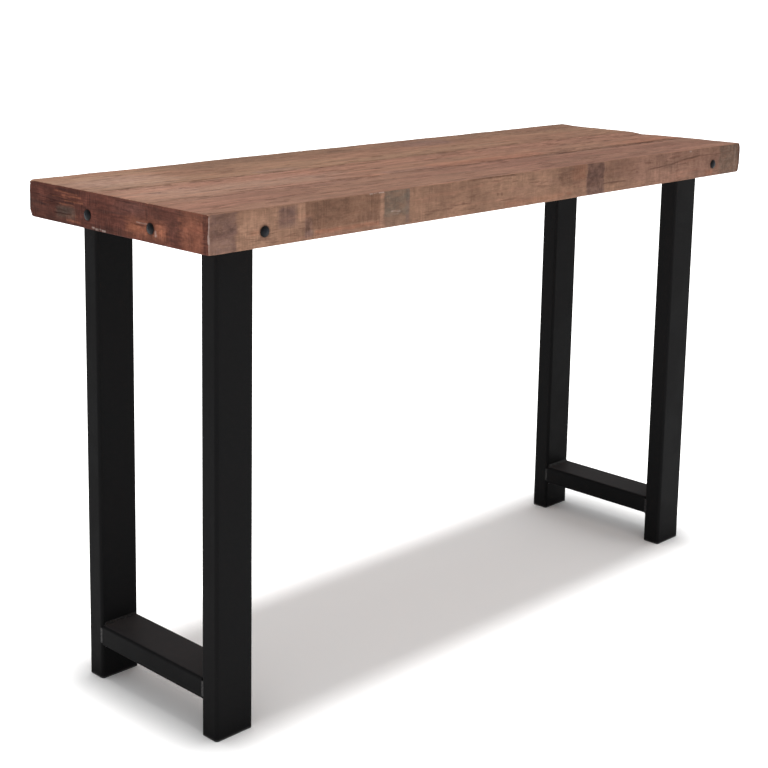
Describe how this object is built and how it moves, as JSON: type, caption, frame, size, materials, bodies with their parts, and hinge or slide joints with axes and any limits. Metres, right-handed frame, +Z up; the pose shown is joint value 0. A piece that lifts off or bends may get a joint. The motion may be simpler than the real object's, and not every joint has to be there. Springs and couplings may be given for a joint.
{
  "type": "console table",
  "caption": "Tall narrow console table with a thick old-timber box top, dome bolt heads at its edges, and welded rectangular-tube leg frames with low stretchers.",
  "frame": {"origin": "on the floor, under the middle of the table", "axes": "+X along the length, to the right seen from the front; +Y to the back; +Z up"},
  "size_m": [1.52, 0.5, 0.914],
  "materials": {
    "timber_top": "weathered, waxed matt",
    "timber_apron": "weathered, rough-sawn, waxed matt",
    "timber_end": "dark reddish, rough-sawn, waxed matt",
    "timber_inside": "plain sawn",
    "black_steel": "satin black powder coat",
    "dark_bolt_steel": "blue-black, low sheen",
    "plated_steel": "zinc plated",
    "black_plastic": "fine matt"
  },
  "bodies": {
    "root": {"back_apron": "timber_apron", "barrel_nuts": "plated_steel", "cross_batten_screws": "plated_steel", "dome_head_bolts": "dark_bolt_steel", "edge_dowels": "timber_inside", "front_apron": "timber_apron", "left_back_foot_cap": "black_plastic", "left_back_post": "black_steel", "left_cross_batten": "timber_inside", "left_end_apron": "timber_end", "left_front_foot_cap": "black_plastic", "left_front_post": "black_steel", "left_leg_batten": "timber_inside", "left_stretcher": "black_steel", "left_top_plate": "black_steel", "left_weld_beads": "black_steel", "leg_bolt_inserts": "plated_steel", "leg_bolt_washers": "plated_steel", "leg_bolts": "plated_steel", "right_back_foot_cap": "black_plastic", "right_back_post": "black_steel", "right_cross_batten": "timber_inside", "right_end_apron": "timber_end", "right_front_foot_cap": "black_plastic", "right_front_post": "black_steel", "right_leg_batten": "timber_inside", "right_stretcher": "black_steel", "right_top_plate": "black_steel", "right_weld_beads": "black_steel", "top_board_back": "timber_top", "top_board_front": "timber_top", "top_board_middle": "timber_top"}
  },
  "joints": []
}
